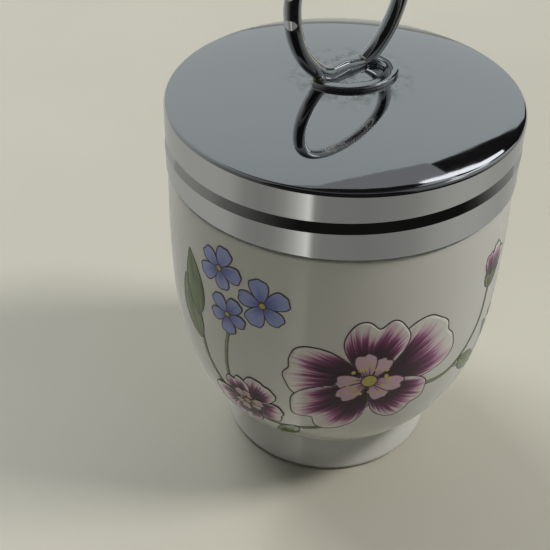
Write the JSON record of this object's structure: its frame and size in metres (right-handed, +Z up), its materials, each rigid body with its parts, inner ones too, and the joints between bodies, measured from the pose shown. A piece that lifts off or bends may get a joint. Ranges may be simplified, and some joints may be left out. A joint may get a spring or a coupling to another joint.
{
  "type": "egg coddler",
  "caption": "Footed porcelain cup with a screw-on domed metal cap and an upright finger ring, for cooking an egg in hot water.",
  "frame": {"origin": "middle of the foot, on the surface that the cup stands on", "axes": "+Z up along the cup's axis; the finger ring stands in the XZ plane and the half-round front of its foot points to -Y"},
  "size_m": [0.071, 0.071, 0.1202],
  "materials": {
    "porcelain": "warm white glaze with a printed flower spray",
    "rubber": "plain moulded rubber",
    "lid_metal": "polished plating on pressed sheet",
    "ring_metal": "polished plating on bent wire"
  },
  "bodies": {
    "cup": {"cup": "porcelain"},
    "seal": {"sealing_ring": "rubber"},
    "lid": {"lid": "lid_metal", "finger_ring": "ring_metal"}
  },
  "joints": [
    {"name": "lid_lift", "type": "slide", "parent": "cup", "child": "seal", "axis": [0, 0, 1], "range_m": [0, 0.05]},
    {"name": "lid_turn", "type": "hinge", "parent": "seal", "child": "lid", "pos_m": [0, 0, 0], "axis": [0, 0, 1], "range_deg": [0, 360]}
  ]
}
